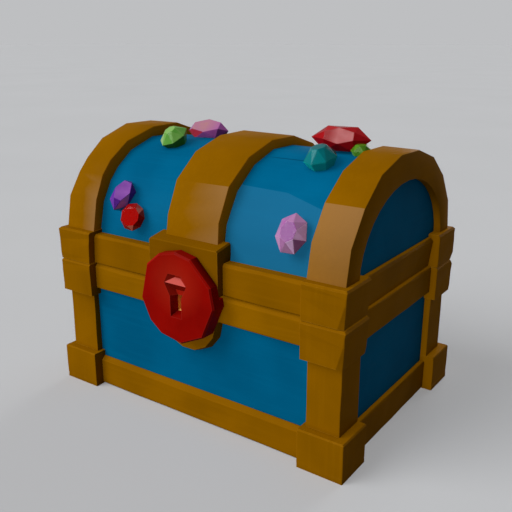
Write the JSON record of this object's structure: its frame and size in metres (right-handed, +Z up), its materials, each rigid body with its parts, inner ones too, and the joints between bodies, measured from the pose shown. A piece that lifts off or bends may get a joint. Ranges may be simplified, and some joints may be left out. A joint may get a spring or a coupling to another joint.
{
  "type": "treasure chest box",
  "caption": "Keepsake box shaped like a treasure chest: panelled case on feet, hinged vaulted lid with gold bands, cut gems and a key lock behind a red round escutcheon.",
  "frame": {"origin": "on the floor, under the middle of the whole chest from side to side and from the medallion's face to the back of the feet", "axes": "+X along the front towards the viewer's right, +Y from the lock front to the hinged back, +Z up"},
  "size_m": [0.2, 0.145, 0.1633],
  "materials": {
    "blue_paint": "satin blue paint on board",
    "gold_paint": "satin ochre gold paint on carved wood",
    "bare_wood": "sanded bare wood",
    "red_lacquer": "gloss red lacquer on carved wood",
    "brass": "satin brass",
    "steel": "plain steel",
    "gem_green": "polished cut acrylic",
    "gem_lime": "polished cut acrylic",
    "gem_pink": "polished cut acrylic",
    "gem_red": "polished cut acrylic",
    "gem_rose": "polished cut acrylic",
    "gem_ruby": "polished cut acrylic",
    "gem_teal": "polished cut acrylic",
    "gem_violet": "polished cut acrylic"
  },
  "bodies": {
    "case": {"back_panel": "blue_paint", "base_hinge_leaves": "brass", "base_screws": "brass", "bottom_rail_back": "gold_paint", "bottom_rail_front": "gold_paint", "bottom_rail_left": "gold_paint", "bottom_rail_right": "gold_paint", "floor_panel": "bare_wood", "foot_back_left": "gold_paint", "foot_back_right": "gold_paint", "foot_front_left": "gold_paint", "foot_front_right": "gold_paint", "front_panel": "blue_paint", "hinge_pins": "steel", "left_panel": "blue_paint", "lock_barrel": "brass", "lock_medallion": "red_lacquer", "lock_nut": "brass", "lock_plate": "gold_paint", "post_back_left": "gold_paint", "post_back_right": "gold_paint", "post_front_left": "gold_paint", "post_front_right": "gold_paint", "right_panel": "blue_paint", "rim_block_back_left": "gold_paint", "rim_block_back_right": "gold_paint", "rim_block_front_left": "gold_paint", "rim_block_front_right": "gold_paint", "rim_rail_back": "gold_paint", "rim_rail_front": "gold_paint", "rim_rail_left": "gold_paint", "rim_rail_right": "gold_paint"},
    "lid": {"gem_green": "gem_green", "gem_lime": "gem_lime", "gem_pink": "gem_pink", "gem_red": "gem_red", "gem_rose": "gem_rose", "gem_ruby": "gem_ruby", "gem_teal": "gem_teal", "gem_violet": "gem_violet", "keeper": "brass", "lid_band_left": "gold_paint", "lid_band_middle": "gold_paint", "lid_band_right": "gold_paint", "lid_block_back_left": "gold_paint", "lid_block_back_right": "gold_paint", "lid_block_front_left": "gold_paint", "lid_block_front_right": "gold_paint", "lid_end_left": "blue_paint", "lid_end_right": "blue_paint", "lid_hinge_leaves": "brass", "lid_lock_block": "gold_paint", "lid_rail_back": "gold_paint", "lid_rail_front": "gold_paint", "lid_rail_left": "gold_paint", "lid_rail_right": "gold_paint", "lid_screws": "brass", "lid_staves": "blue_paint"},
    "lock_core": {"lock_plug": "brass", "lock_cam": "steel"}
  },
  "joints": [
    {"name": "lid_hinge", "type": "hinge", "parent": "case", "child": "lid", "pos_m": [0, 0.06885, 0.0802], "axis": [-1, 0, 0], "range_deg": [0, 105]},
    {"name": "lock_turn", "type": "hinge", "parent": "case", "child": "lock_core", "pos_m": [0, -0.06, 0.0725], "axis": [0, -1, 0], "range_deg": [0, 90]}
  ]
}
